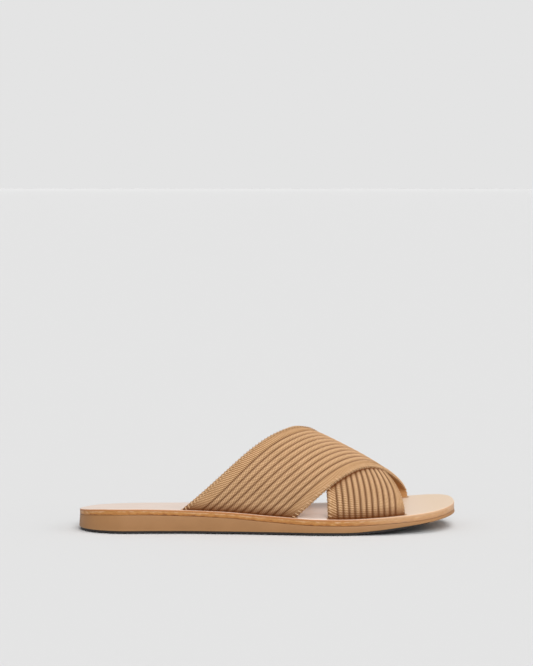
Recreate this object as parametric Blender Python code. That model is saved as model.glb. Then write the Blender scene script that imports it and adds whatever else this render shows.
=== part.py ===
"""Cross strap sandal, a right shoe, standing flat on its sole.

A one-piece wedge outsole carries a leather midsole and a thin leather insole. Two broad ribbed knit
straps cross over the foot and are joined where they cross, so they are one upper. Their ends go down
through slots in the insole and the midsole.

+X points to the toe, +Y to the inner side of the foot and +Z up. The origin is on the floor, in the
middle of the outline. All sizes are in metres.
"""

import math
from typing import Callable, NamedTuple

import bmesh
import bpy
import numpy as np

# Sole
LENGTH = 0.260
BALL_WIDTH = 0.0878
HEEL_HEIGHT = 0.0170
TOE_SPRING = 0.0084
CANT = 0.0036
HEEL_ROUND = 0.0345
HEEL_SQUARENESS = 2.05
TOE_ROUND = 0.0413
TOE_SQUARENESS = 2.6

# Layers of the sole
INSOLE_THICKNESS = 0.0009
MIDSOLE_THICKNESS = 0.0024
LAYER_GAP = 0.0003
INSOLE_INSET = 0.0003
EDGE_BREAK = 0.0003
TREAD_INSET = 0.0028
TREAD_STEP = 0.0014
WALL_ROUND = 0.0007
WALL_DRAFT = 0.0004

# Straps
RIDGE_HEIGHT = 0.0824
RIDGE_SHIFT = 0.0055
LEDGE = 0.0040
STRAP_WALL = 0.0016
RIB_RISE = 0.0007
OVER_STRAP_RAISE = 0.0014
RIB_COUNT = 10
BORDER_WIDTH = 0.0070
RIB_PITCH = 0.00386
RIB_SHOULDER = 0.0009
SLOT_CLEARANCE = 0.0003

# Fineness of the faces
SOLE_STEPS = 56
STRAP_STEPS = 24
SLOT_STEPS = 14


class SoleRow(NamedTuple):
    """One section of the sole. Each length is a share of the size named beside it."""

    station: float  # of LENGTH, from the heel
    width: float  # of BALL_WIDTH
    offset: float  # of BALL_WIDTH, towards the inner side
    top: float  # of HEEL_HEIGHT, at the outer edge
    bottom: float  # of TOE_SPRING
    cant: float  # of CANT, how far the inner edge stands above the outer one
    midsole: float  # of MIDSOLE_THICKNESS


SOLE_ROWS = (
    SoleRow(0.00, 0.652, 0.000, 0.936, 0.00, -1.00, 1.00),
    SoleRow(0.07, 0.656, 0.002, 0.993, 0.00, -1.00, 1.00),
    SoleRow(0.15, 0.660, 0.002, 1.000, 0.00, -0.94, 1.00),
    SoleRow(0.27, 0.660, -0.007, 0.959, 0.00, -0.72, 1.00),
    SoleRow(0.38, 0.688, -0.032, 0.899, 0.00, -0.28, 1.02),
    SoleRow(0.50, 0.779, -0.043, 0.761, 0.00, 0.08, 1.08),
    SoleRow(0.62, 0.927, -0.032, 0.659, 0.00, 0.08, 1.15),
    SoleRow(0.70, 0.991, -0.010, 0.647, 0.00, 0.08, 1.20),
    SoleRow(0.78, 1.000, 0.002, 0.699, 0.18, 0.22, 1.25),
    SoleRow(0.86, 0.952, 0.025, 0.771, 0.44, 0.47, 1.30),
    SoleRow(0.93, 0.893, 0.048, 0.853, 0.69, 0.67, 1.30),
    SoleRow(1.00, 0.825, 0.072, 0.986, 1.00, 0.83, 1.30),
)


class RidgeRow(NamedTuple):
    """Height of the last's ridge, which the under strap's ribs reach."""

    station: float  # of LENGTH, from the heel
    height: float  # of RIDGE_HEIGHT


RIDGE_ROWS = (
    RidgeRow(0.27, 1.000),
    RidgeRow(0.42, 0.988),
    RidgeRow(0.58, 0.847),
    RidgeRow(0.73, 0.625),
    RidgeRow(0.88, 0.336),
)


class StrapRow(NamedTuple):
    """Where one strap leaves the sole, as four shares of LENGTH, and how it curves in plan."""

    outer_rear: float
    outer_front: float
    inner_rear: float
    inner_front: float
    rear_bend: float  # power of the curve that the rear edge follows
    front_bend: float  # the same for the front edge
    lies_over: bool  # the strap on top leans most at its outer end, and the other at its inner end


OVER_STRAP = StrapRow(0.272, 0.567, 0.695, 0.888, 2.20, 2.20, True)
UNDER_STRAP = StrapRow(0.649, 0.852, 0.364, 0.612, 2.35, 2.45, False)

# Where the straps lie on each other, as shares of the way over from the outer to the inner side
CROSSING_FROM = 0.11
CROSSING_TO = 0.86

Curve = Callable[[np.ndarray], np.ndarray]


def smooth_curve(stations: list[float], values: list[float]) -> Curve:
    """Return a cubic through the rows that never overshoots between two of them."""
    xs = np.array(stations)
    ys = np.array(values)
    steps = np.diff(xs)
    slopes = np.diff(ys) / steps
    tangents = np.zeros_like(ys)
    same_way = slopes[:-1] * slopes[1:] > 0
    before = 2 * steps[1:] + steps[:-1]
    after = steps[1:] + 2 * steps[:-1]
    safe = np.where(same_way, slopes[:-1] * slopes[1:], 1.0)
    mean = (before + after) * safe / np.where(same_way, before * slopes[1:] + after * slopes[:-1], 1.0)
    tangents[1:-1] = np.where(same_way, mean, 0.0)
    tangents[0] = slopes[0]
    tangents[-1] = slopes[-1]

    def evaluate(at: np.ndarray) -> np.ndarray:
        at = np.clip(np.asarray(at, float), xs[0], xs[-1])
        row = np.clip(np.searchsorted(xs, at, side="right") - 1, 0, len(xs) - 2)
        along = (at - xs[row]) / steps[row]
        start = (1 + 2 * along) * (1 - along) ** 2 * ys[row]
        start_slope = along * (1 - along) ** 2 * steps[row] * tangents[row]
        end = along**2 * (3 - 2 * along) * ys[row + 1]
        end_slope = along**2 * (along - 1) * steps[row] * tangents[row + 1]
        return start + start_slope + end + end_slope

    return evaluate


def smooth_step(share: np.ndarray) -> np.ndarray:
    """Rise from 0 to 1 with level ends."""
    share = np.clip(share, 0.0, 1.0)
    return share**2 * (3 - 2 * share)


def sole_column(column: str, size: float) -> Curve:
    """Return one column of the sole's table as a length over the station."""
    stations = [row.station * LENGTH for row in SOLE_ROWS]
    return smooth_curve(stations, [getattr(row, column) * size for row in SOLE_ROWS])


half_width = sole_column("width", BALL_WIDTH / 2)
plan_offset = sole_column("offset", BALL_WIDTH)
outer_top = sole_column("top", HEEL_HEIGHT)
sole_bottom = sole_column("bottom", TOE_SPRING)
inner_rise = sole_column("cant", CANT)
midsole_thickness = sole_column("midsole", MIDSOLE_THICKNESS)
ridge_height = smooth_curve(
    [row.station * LENGTH for row in RIDGE_ROWS],
    [row.height * RIDGE_HEIGHT for row in RIDGE_ROWS],
)


def end_taper(station: np.ndarray) -> np.ndarray:
    """Share of the width that the round heel and the squarer toe leave at a station."""
    heel = np.clip(1 - station / HEEL_ROUND, 0.0, 1.0)
    toe = np.clip((station - LENGTH + TOE_ROUND) / TOE_ROUND, 0.0, 1.0)
    heel_share = (1 - heel**HEEL_SQUARENESS) ** (1 / HEEL_SQUARENESS)
    toe_share = (1 - toe**TOE_SQUARENESS) ** (1 / TOE_SQUARENESS)
    return heel_share * toe_share


def sole_edges(station: np.ndarray) -> tuple[np.ndarray, np.ndarray]:
    """Return the outer and the inner edge of the outline, measured across from the table's axis."""
    reach = half_width(station) * end_taper(station)
    return plan_offset(station) - reach, plan_offset(station) + reach


def plan_stations() -> np.ndarray:
    """Stations from heel to toe, closer together at the round ends."""
    turn = np.linspace(0.0, math.pi, SOLE_STEPS + 1)
    return LENGTH * (1 - np.cos(turn)) / 2


def plan_shift() -> float:
    """How far the table's axis moves across, so that the outline's middle is on the origin."""
    outer, inner = sole_edges(plan_stations())
    return -(outer.min() + inner.max()) / 2


PLAN_SHIFT = plan_shift()


def insole_top(station: np.ndarray, across: np.ndarray) -> np.ndarray:
    """Height of the footbed at a station and a place across, from the table's axis."""
    half = half_width(station)
    inward = np.clip((across - plan_offset(station) + half) / (2 * half), 0.0, 1.0)
    return outer_top(station) + inner_rise(station) * inward


def midsole_top(station: np.ndarray, across: np.ndarray) -> np.ndarray:
    return insole_top(station, across) - INSOLE_THICKNESS - LAYER_GAP


def outsole_top(station: np.ndarray, across: np.ndarray) -> np.ndarray:
    return midsole_top(station, across) - midsole_thickness(station) - LAYER_GAP


def outline() -> np.ndarray:
    """Points of the outline, outer side from heel to toe and then back along the inner side."""
    station = plan_stations()
    outer, inner = sole_edges(station)
    there = np.column_stack([station, outer])
    back = np.column_stack([station, inner])[-2:0:-1]
    return np.vstack([there, back])


def inset_outline(inset: float) -> np.ndarray:
    """The outline moved inwards by a distance."""
    points = outline()
    run = np.roll(points, -1, axis=0) - np.roll(points, 1, axis=0)
    inward = np.column_stack([-run[:, 1], run[:, 0]])
    inward /= np.linalg.norm(inward, axis=1)[:, None]
    return points + inward * inset


def to_world(station: np.ndarray, across: np.ndarray, height: np.ndarray) -> np.ndarray:
    """Place points of the sole's table in the world."""
    return np.column_stack([station - LENGTH / 2, across + PLAN_SHIFT, height])


def new_object(name: str, bm: bmesh.types.BMesh, collection: bpy.types.Collection) -> bpy.types.Object:
    """Turn a finished bmesh into an object with its faces outward."""
    bmesh.ops.recalc_face_normals(bm, faces=bm.faces)
    mesh = bpy.data.meshes.new(name)
    bm.to_mesh(mesh)
    bm.free()
    obj = bpy.data.objects.new(name, mesh)
    collection.objects.link(obj)
    return obj


class Ring(NamedTuple):
    """One level of a sole layer: how far in from the outline, and at what height."""

    inset: float
    height: Callable[[np.ndarray, np.ndarray], np.ndarray]


def sole_layer(name: str, rings: list[Ring], collection: bpy.types.Collection) -> bpy.types.Object:
    """Loft a layer of the sole through its rings, with ruled faces across its bottom and its top."""
    bm = bmesh.new()
    levels = []
    for ring in rings:
        plan = inset_outline(ring.inset)
        height = ring.height(np.clip(plan[:, 0], 0.0, LENGTH), plan[:, 1])
        points = to_world(plan[:, 0], plan[:, 1], height)
        levels.append([bm.verts.new(point) for point in points])
    count = len(levels[0])
    for low, high in zip(levels, levels[1:]):
        for i in range(count):
            j = (i + 1) % count
            bm.faces.new((low[i], low[j], high[j], high[i]))
    for level in (levels[0], levels[-1]):
        bm.faces.new((level[0], level[1], level[-1]))
        for i in range(1, SOLE_STEPS - 1):
            bm.faces.new((level[i], level[i + 1], level[-i - 1], level[-i]))
        bm.faces.new((level[SOLE_STEPS - 1], level[SOLE_STEPS], level[SOLE_STEPS + 1]))
    return new_object(name, bm, collection)


def build_outsole(collection: bpy.types.Collection) -> bpy.types.Object:
    """The wedge: a flat tread set in from the wall by a low step, and a wall that draws in a little."""
    return sole_layer(
        "outsole",
        [
            Ring(TREAD_INSET, lambda s, y: sole_bottom(s)),
            Ring(TREAD_INSET - EDGE_BREAK, lambda s, y: sole_bottom(s) + TREAD_STEP - EDGE_BREAK),
            Ring(WALL_ROUND, lambda s, y: sole_bottom(s) + TREAD_STEP),
            Ring(0.0, lambda s, y: sole_bottom(s) + TREAD_STEP + WALL_ROUND),
            Ring(WALL_DRAFT, outsole_top),
        ],
        collection,
    )


def build_midsole(collection: bpy.types.Collection) -> bpy.types.Object:
    """The burnished leather layer, with its edges broken."""
    return sole_layer(
        "midsole",
        [
            Ring(WALL_DRAFT + EDGE_BREAK, lambda s, y: midsole_top(s, y) - midsole_thickness(s)),
            Ring(WALL_DRAFT, lambda s, y: midsole_top(s, y) - midsole_thickness(s) + EDGE_BREAK),
            Ring(WALL_DRAFT, lambda s, y: midsole_top(s, y) - EDGE_BREAK),
            Ring(WALL_DRAFT + EDGE_BREAK, midsole_top),
        ],
        collection,
    )


def build_insole(collection: bpy.types.Collection) -> bpy.types.Object:
    """The thin footbed sheet, with its upper edge broken."""
    wall = WALL_DRAFT + INSOLE_INSET
    return sole_layer(
        "insole",
        [
            Ring(wall, lambda s, y: insole_top(s, y) - INSOLE_THICKNESS),
            Ring(wall, lambda s, y: insole_top(s, y) - EDGE_BREAK),
            Ring(wall + EDGE_BREAK, insole_top),
        ],
        collection,
    )


def strap_station(strap: StrapRow, across: np.ndarray, over: float) -> np.ndarray:
    """Station of a line of the strap, part of the way over from the outer to the inner side."""
    outer = strap.outer_rear + (strap.outer_front - strap.outer_rear) * across
    inner = strap.inner_rear + (strap.inner_front - strap.inner_rear) * across
    bend = strap.rear_bend + (strap.front_bend - strap.rear_bend) * across
    gone = 1 - (1 - over) ** bend if strap.lies_over else over**bend
    return LENGTH * (outer + (inner - outer) * gone)


def arch_point(station: np.ndarray, over: float, height: np.ndarray) -> tuple[np.ndarray, np.ndarray]:
    """Place across and height of a point on the last's arch.

    Height is measured from the straps' inner face, and over runs from the outer to the inner side.
    """
    turn = math.pi * over
    grown = height - STRAP_WALL - RIB_RISE
    reach = half_width(station) * end_taper(station) - LEDGE + grown
    across = plan_offset(station) - reach * math.cos(turn) + RIDGE_SHIFT * math.sin(turn)
    foot = outer_top(station) + inner_rise(station) * (1 - math.cos(turn)) / 2
    middle = outer_top(station) + inner_rise(station) / 2
    return across, foot + (ridge_height(station) + grown - middle) * math.sin(turn)


def strap_raise(strap: StrapRow, over: float) -> float:
    """How far the over strap stands above the last, so that it lies on the other strap."""
    if not strap.lies_over:
        return 0.0
    up = smooth_step(over / CROSSING_FROM)
    down = smooth_step((1 - over) / (1 - CROSSING_TO))
    return OVER_STRAP_RAISE * float(up * down)


def rib_profile() -> tuple[np.ndarray, np.ndarray]:
    """Places across the strap, as shares of its width, and the outer face's height there."""
    bands = [BORDER_WIDTH] + [RIB_PITCH] * RIB_COUNT + [BORDER_WIDTH]
    width = sum(bands)
    places = [0.0]
    heights = [STRAP_WALL]
    start = 0.0
    for band in bands:
        places += [start + RIB_SHOULDER, start + band - RIB_SHOULDER, start + band]
        heights += [STRAP_WALL + RIB_RISE, STRAP_WALL + RIB_RISE, STRAP_WALL]
        start += band
    return np.array(places) / width, np.array(heights)


def strap_row(strap: StrapRow, over: float, across: np.ndarray, heights: np.ndarray) -> np.ndarray:
    """World points of one line that runs across the strap."""
    station = strap_station(strap, across, over)
    y, z = arch_point(station, over, heights + strap_raise(strap, over))
    return to_world(station, y, z)


def strap_foot(strap: StrapRow, over: float, across: np.ndarray, heights: np.ndarray) -> np.ndarray:
    """World points of the strap's end, straight down in its slot, just above the outsole."""
    station = strap_station(strap, across, over)
    y, _ = arch_point(station, over, heights)
    return to_world(station, y, outsole_top(station, y) + SLOT_CLEARANCE)


def build_strap(name: str, strap: StrapRow, collection: bpy.types.Collection) -> bpy.types.Object:
    """One ribbed strap as a closed wall, from slot to slot."""
    places, outer_heights = rib_profile()
    inner_heights = np.zeros_like(outer_heights)
    bm = bmesh.new()
    faces = []
    for heights in (outer_heights, inner_heights):
        rows = [strap_foot(strap, 0.0, places, heights)]
        for i in range(STRAP_STEPS + 1):
            rows.append(strap_row(strap, i / STRAP_STEPS, places, heights))
        rows.append(strap_foot(strap, 1.0, places, heights))
        faces.append([[bm.verts.new(point) for point in row] for row in rows])
    outer, inner = faces
    last = len(places) - 1
    for i in range(len(outer) - 1):
        for j in range(last):
            bm.faces.new((outer[i][j], outer[i][j + 1], outer[i + 1][j + 1], outer[i + 1][j]))
            bm.faces.new((inner[i][j], inner[i + 1][j], inner[i + 1][j + 1], inner[i][j + 1]))
        for j in (0, last):
            bm.faces.new((outer[i][j], outer[i + 1][j], inner[i + 1][j], inner[i][j]))
    for i in (0, len(outer) - 1):
        for j in range(last):
            bm.faces.new((outer[i][j], inner[i][j], inner[i][j + 1], outer[i][j + 1]))
    return new_object(name, bm, collection)


def slot_cutter(name: str, strap: StrapRow, over: float, collection: bpy.types.Collection) -> bpy.types.Object:
    """A curved blade that clears one end of a strap through the insole and the midsole."""
    ends = strap_station(strap, np.array([0.0, 1.0]), over)
    station = np.linspace(ends[0] - SLOT_CLEARANCE, ends[1] + SLOT_CLEARANCE, SLOT_STEPS + 1)
    bm = bmesh.new()
    corners = []
    for height in (-SLOT_CLEARANCE, STRAP_WALL + RIB_RISE + SLOT_CLEARANCE):
        y, _ = arch_point(station, over, np.full_like(station, height))
        for level in (outsole_top(station, y), insole_top(station, y) + STRAP_WALL):
            corners.append([bm.verts.new(point) for point in to_world(station, y, level)])
    inner_low, inner_high, outer_low, outer_high = corners
    loop = (inner_low, inner_high, outer_high, outer_low)
    for near, far in zip(loop, loop[1:] + loop[:1]):
        for i in range(SLOT_STEPS):
            bm.faces.new((near[i], near[i + 1], far[i + 1], far[i]))
    for i in (0, SLOT_STEPS):
        bm.faces.new([side[i] for side in loop])
    return new_object(name, bm, collection)


def add_boolean(target: bpy.types.Object, other: bpy.types.Object, operation: str) -> None:
    """Join or cut with another solid."""
    modifier = target.modifiers.new(f"{operation.lower()} {other.name}", "BOOLEAN")
    modifier.operation = operation
    modifier.solver = "EXACT"
    modifier.object = other


def hide_helper(obj: bpy.types.Object) -> None:
    obj.display_type = "WIRE"
    obj.hide_render = True


def principled(name: str, colour: tuple[float, float, float], roughness: float) -> bpy.types.Material:
    """A plain surface for one piece."""
    material = bpy.data.materials.new(name)
    material.use_nodes = True
    shader = material.node_tree.nodes["Principled BSDF"]
    shader.inputs["Base Color"].default_value = (*colour, 1.0)
    shader.inputs["Roughness"].default_value = roughness
    shader.inputs["Metallic"].default_value = 0.0
    material.diffuse_color = (*colour, 1.0)
    return material


def main() -> None:
    for obj in list(bpy.data.objects):
        bpy.data.objects.remove(obj, do_unlink=True)
    sandal = bpy.data.collections.new("cross_strap_sandal")
    bpy.context.scene.collection.children.link(sandal)
    cutters = bpy.data.collections.new("cutters")
    bpy.context.scene.collection.children.link(cutters)
    cutters.hide_render = True

    outsole = build_outsole(sandal)
    midsole = build_midsole(sandal)
    insole = build_insole(sandal)
    upper = build_strap("upper", UNDER_STRAP, sandal)
    over_strap = build_strap("over_strap", OVER_STRAP, cutters)
    hide_helper(over_strap)
    add_boolean(upper, over_strap, "UNION")

    for strap_name, strap in (("over", OVER_STRAP), ("under", UNDER_STRAP)):
        for side, over in (("outer", 0.0), ("inner", 1.0)):
            slot = slot_cutter(f"{strap_name}_strap_{side}_slot", strap, over, cutters)
            hide_helper(slot)
            add_boolean(midsole, slot, "DIFFERENCE")
            add_boolean(insole, slot, "DIFFERENCE")

    outsole.data.materials.append(principled("outsole_rubber", (0.38, 0.23, 0.11), 0.55))
    midsole.data.materials.append(principled("midsole_leather", (0.45, 0.21, 0.08), 0.45))
    insole.data.materials.append(principled("insole_leather", (0.78, 0.66, 0.55), 0.55))
    upper.data.materials.append(principled("upper_knit", (0.46, 0.28, 0.15), 0.85))


if __name__ == "__main__":
    main()
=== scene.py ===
"""Dress the cross strap sandal: fine sole layers, two ribbed knit straps, their materials and a plain studio.

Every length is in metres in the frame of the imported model: +X to the toe, +Y to the inner side of the
foot, +Z up, and the floor at zero. Stations run from the heel (0) to the toe (the sole's length).
"""

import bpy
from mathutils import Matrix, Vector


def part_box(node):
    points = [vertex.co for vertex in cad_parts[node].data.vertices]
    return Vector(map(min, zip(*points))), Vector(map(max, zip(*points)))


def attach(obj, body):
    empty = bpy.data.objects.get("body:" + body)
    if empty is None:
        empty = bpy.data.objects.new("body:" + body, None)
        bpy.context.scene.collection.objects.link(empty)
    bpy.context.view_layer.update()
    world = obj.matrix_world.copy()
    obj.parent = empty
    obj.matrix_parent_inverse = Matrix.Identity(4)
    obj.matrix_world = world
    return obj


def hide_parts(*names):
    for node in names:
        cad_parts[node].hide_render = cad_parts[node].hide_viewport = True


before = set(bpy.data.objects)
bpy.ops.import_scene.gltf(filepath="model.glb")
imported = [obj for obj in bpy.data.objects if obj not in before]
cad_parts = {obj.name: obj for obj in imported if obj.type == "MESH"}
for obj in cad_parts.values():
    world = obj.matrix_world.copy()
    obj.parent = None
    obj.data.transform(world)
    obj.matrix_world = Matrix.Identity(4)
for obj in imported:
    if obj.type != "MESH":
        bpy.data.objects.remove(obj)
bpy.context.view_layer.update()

import logging
import math
from dataclasses import dataclass
from enum import Enum
from functools import partial
from typing import Callable, Iterable, NamedTuple, Sequence

import bmesh
import bpy
import numpy as np
from mathutils import Matrix, Vector

LOG = logging.getLogger("cross_strap_sandal")
ROOT_BODY = "root"
FORWARD, DOWN = (1.0, 0.0, 0.0), (0.0, 0.0, -1.0)

Array = np.ndarray
Object = bpy.types.Object
Material = bpy.types.Material
Node = bpy.types.Node
Socket = bpy.types.NodeSocket
Tree = bpy.types.NodeTree
Colour = tuple[float, float, float, float]
Curve = Callable[[Array], Array]
Height = Callable[[Array, Array], Array]


class Side(Enum):
    """The two ends of a strap, as the share of the way over the foot."""

    OUTER = 0.0
    INNER = 1.0


class Edge(Enum):
    """The two long edges of a strap, as the share of its width."""

    REAR = 0.0
    FRONT = 1.0


def smooth_curve(stations: Sequence[float], values: Sequence[float]) -> Curve:
    """Return a cubic through the rows that never overshoots between two of them.

    Args:
        stations: Places of the rows, rising.
        values: The rows' values.

    Returns:
        A function of the place.
    """
    xs, ys = np.array(stations, float), np.array(values, float)
    steps = np.diff(xs)
    slopes = np.diff(ys) / steps
    same_way = slopes[:-1] * slopes[1:] > 0
    before, after = 2 * steps[1:] + steps[:-1], steps[1:] + 2 * steps[:-1]
    weight = np.where(same_way, before * slopes[1:] + after * slopes[:-1], 1.0)
    inner = np.where(same_way, (before + after) * slopes[:-1] * slopes[1:] / weight, 0.0)
    tangents = np.concatenate([[slopes[0]], inner, [slopes[-1]]])

    def evaluate(at: Array) -> Array:
        """Read the curve at one or more places.

        Args:
            at: The places.

        Returns:
            The curve's values.
        """
        at = np.clip(np.asarray(at, float), xs[0], xs[-1])
        row = np.clip(np.searchsorted(xs, at, side="right") - 1, 0, len(xs) - 2)
        part = (at - xs[row]) / steps[row]
        start = (1 + 2 * part) * ys[row] + part * steps[row] * tangents[row]
        end = (3 - 2 * part) * ys[row + 1] + (part - 1) * steps[row] * tangents[row + 1]
        return (1 - part) ** 2 * start + part**2 * end

    return evaluate


def smooth_step(share: Array) -> Array:
    """Rise from 0 to 1 with level ends."""
    share = np.clip(share, 0.0, 1.0)
    return share**2 * (3 - 2 * share)


def between(first: float, last: float, share: Array) -> Array:
    """Go from the first value to the last by a share."""
    return first + (last - first) * share


# Meshes


def link(name: str, data: bpy.types.ID) -> Object:
    """Put a mesh, a lamp or a camera into the scene.

    Args:
        name: Name of the object.
        data: The mesh, lamp or camera.

    Returns:
        Its object.
    """
    obj = bpy.data.objects.new(name, data)
    bpy.context.scene.collection.objects.link(obj)
    return obj


def store(mesh: bpy.types.Mesh, attributes: dict[str, Array]) -> None:
    """Keep a number or a vector for each point of a mesh.

    Args:
        mesh: The mesh.
        attributes: Values by name, one row for each point.
    """
    for label, values in attributes.items():
        values = np.asarray(values, float)
        kind, key = ("FLOAT_VECTOR", "vector") if values.ndim == 2 else ("FLOAT", "value")
        mesh.attributes.new(label, kind, "POINT").data.foreach_set(key, values.ravel())


def loft_faces(rings: int, count: int, capped: bool = True) -> list[tuple[int, ...]]:
    """List the faces between rings of points that follow one another.

    Args:
        rings: How many rings.
        count: Points on each ring.
        capped: Whether the first and the last ring are closed with a face.

    Returns:
        Point numbers of each face, ring by ring, and then the caps.
    """
    faces = []
    for k in range(rings - 1):
        low, high = k * count, (k + 1) * count
        faces += [(low + i, low + (i + 1) % count, high + (i + 1) % count, high + i) for i in range(count)]
    if capped:
        faces += [tuple(range(count)), tuple(range((rings - 1) * count, rings * count))]
    return faces


def make_object(
    name: str,
    points: Iterable[Sequence[float]],
    faces: Iterable[Sequence[int]],
    attributes: dict[str, Array] | None = None,
    sharp_angle: float = 40.0,
) -> Object:
    """Make a mesh object from points and faces, with its faces outward and its edges smoothed.

    Args:
        name: Name of the object and its mesh.
        points: World places.
        faces: Point numbers of each face.
        attributes: Values of the points by name.
        sharp_angle: Angle in degrees past which an edge stays sharp.

    Returns:
        The object, linked to the scene.
    """
    mesh = bpy.data.meshes.new(name)
    mesh.from_pydata([tuple(p) for p in points], [], faces)
    store(mesh, attributes or {})
    bm = bmesh.new()
    bm.from_mesh(mesh)
    bmesh.ops.recalc_face_normals(bm, faces=bm.faces)
    bm.to_mesh(mesh)
    bm.free()
    mesh.polygons.foreach_set("use_smooth", [True] * len(mesh.polygons))
    mesh.set_sharp_from_angle(angle=math.radians(sharp_angle))
    return link(name, mesh)


def bake_modifiers(obj: Object, *helpers: Object) -> Object:
    """Turn an object's modifiers into plain mesh and remove the helpers.

    Args:
        obj: Object whose modifiers are finished.
        helpers: Objects that only the modifiers needed.

    Returns:
        The same object with the plain mesh.
    """
    bpy.context.view_layer.update()
    graph = bpy.context.evaluated_depsgraph_get()
    mesh = bpy.data.meshes.new_from_object(obj.evaluated_get(graph), depsgraph=graph)
    obj.modifiers.clear()
    obj.data = mesh
    mesh.name = obj.name
    for helper in helpers:
        bpy.data.objects.remove(helper, do_unlink=True)
    return obj


def hand_over(obj: Object, node: str) -> None:
    """Let a finished piece ride on the body and stand for its CAD node.

    Args:
        obj: The finished piece.
        node: CAD node that it replaces.
    """
    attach(obj, ROOT_BODY)
    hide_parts(node)
    LOG.info("%s: %d faces, stands for %s", obj.name, len(obj.data.polygons), node)


# Nodes


def linear_colour(code: str, left: float = 1.0) -> Colour:
    """Turn an sRGB hex colour into the linear values that shaders take.

    Args:
        code: Six hex digits.
        left: Share of the light that is left, for a darker tone of it.

    Returns:
        Linear red, green, blue and an alpha of 1.
    """
    channels = [int(code[i : i + 2], 16) / 255 for i in (0, 2, 4)]
    linear = [c / 12.92 if c <= 0.04045 else ((c + 0.055) / 1.055) ** 2.4 for c in channels]
    return (linear[0] * left, linear[1] * left, linear[2] * left, 1.0)


def add_node(tree: Tree, kind: str, inputs: dict | None = None, **settings) -> Node:
    """Add a node with its settings, and link or fill its inputs.

    Args:
        tree: Node tree that the node joins.
        kind: Blender's name of the node type.
        inputs: Value or output socket for each input, by name or number.
        settings: The node's own properties.

    Returns:
        The new node.
    """
    node = tree.nodes.new(kind)
    for name, value in settings.items():
        setattr(node, name, value)
    for key, value in (inputs or {}).items():
        if isinstance(value, Socket):
            tree.links.new(value, node.inputs[key])
        else:
            node.inputs[key].default_value = value
    return node


def calculate(tree: Tree, operation: str, *values: Socket | float) -> Socket:
    """Add one calculation and return its result."""
    return add_node(tree, "ShaderNodeMath", dict(enumerate(values)), operation=operation).outputs[0]


def choose(tree: Tree, share: Socket, first: Socket | float, second: Socket | float) -> Socket:
    """Go from one number to another by a share."""
    return add_node(tree, "ShaderNodeMix", {0: share, 2: first, 3: second}, data_type="FLOAT").outputs[0]


def blend(tree: Tree, share: Socket, first: Socket | Colour | str, second: Socket | Colour | str) -> Socket:
    """Go from one colour to another by a share. A colour can be a hex code."""
    ends = [linear_colour(end) if isinstance(end, str) else end for end in (first, second)]
    return add_node(tree, "ShaderNodeMix", {0: share, 6: ends[0], 7: ends[1]}, data_type="RGBA").outputs[2]


def ease(tree: Tree, value: Socket, start: float, end: float, most: float = 1.0) -> Socket:
    """Map a value to 0 at the start and to the most at the end."""
    return add_node(tree, "ShaderNodeMapRange", {0: value, 1: start, 2: end, 4: most}).outputs[0]


def noise(tree: Tree, place: Socket, size: float, detail: float) -> Socket:
    """Add noise with blots of a size."""
    inputs = {"Vector": place, "Scale": 1 / size, "Detail": detail}
    return add_node(tree, "ShaderNodeTexNoise", inputs).outputs[0]


def attribute(tree: Tree, label: str) -> Socket:
    """Read one of the piece's attributes in a shader."""
    return add_node(tree, "ShaderNodeAttribute", attribute_name=label).outputs["Fac"]


def point_attribute(tree: Tree, label: str, kind: str = "FLOAT") -> Socket:
    """Read one of the points' attributes in Geometry Nodes."""
    node = add_node(tree, "GeometryNodeInputNamedAttribute", {"Name": label}, data_type=kind)
    return node.outputs["Attribute"]


def past_grooves(tree: Tree, rib: Socket, rib_count: Socket | float) -> Socket:
    """Distance past the first or the last groove, in ribs: above zero on the border bands."""
    before, after = calculate(tree, "MULTIPLY", rib, -1.0), calculate(tree, "SUBTRACT", rib, rib_count)
    return calculate(tree, "MAXIMUM", before, after)


def principled(name: str, values: dict[str, float | Colour]) -> tuple[Material, Node]:
    """Make a material and set what is the same all over.

    Args:
        name: Name of the material.
        values: Constants of the Principled node, by socket.

    Returns:
        The material and its Principled node.
    """
    material = bpy.data.materials.new(name)
    material.use_nodes = True
    shader = material.node_tree.nodes["Principled BSDF"]
    for label, value in values.items():
        shader.inputs[label].default_value = value
    return material, shader


# Sole


class SoleRow(NamedTuple):
    """One section of the sole. Each length is a share of the size named beside it."""

    station: float  # of the length
    width: float  # of the ball width
    offset: float  # of the ball width, towards the inner side
    top: float  # of the heel height, at the outer edge
    bottom: float  # of the toe spring
    cant: float  # of the cant, how far the inner edge stands above the outer one
    midsole: float  # of the midsole's thickness at the heel


SOLE_ROWS = (
    SoleRow(0.00, 0.652, 0.000, 0.936, 0.00, -1.00, 1.00),
    SoleRow(0.07, 0.656, 0.002, 0.993, 0.00, -1.00, 1.00),
    SoleRow(0.15, 0.660, 0.002, 1.000, 0.00, -0.94, 1.00),
    SoleRow(0.27, 0.660, -0.007, 0.959, 0.00, -0.72, 1.00),
    SoleRow(0.38, 0.688, -0.032, 0.899, 0.00, -0.28, 1.02),
    SoleRow(0.50, 0.779, -0.043, 0.761, 0.00, 0.08, 1.08),
    SoleRow(0.62, 0.927, -0.032, 0.659, 0.00, 0.08, 1.15),
    SoleRow(0.70, 0.991, -0.010, 0.647, 0.00, 0.08, 1.20),
    SoleRow(0.78, 1.000, 0.002, 0.699, 0.18, 0.22, 1.25),
    SoleRow(0.86, 0.952, 0.025, 0.771, 0.44, 0.47, 1.30),
    SoleRow(0.93, 0.893, 0.048, 0.853, 0.69, 0.67, 1.30),
    SoleRow(1.00, 0.825, 0.072, 0.986, 1.00, 0.83, 1.30),
)


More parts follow.
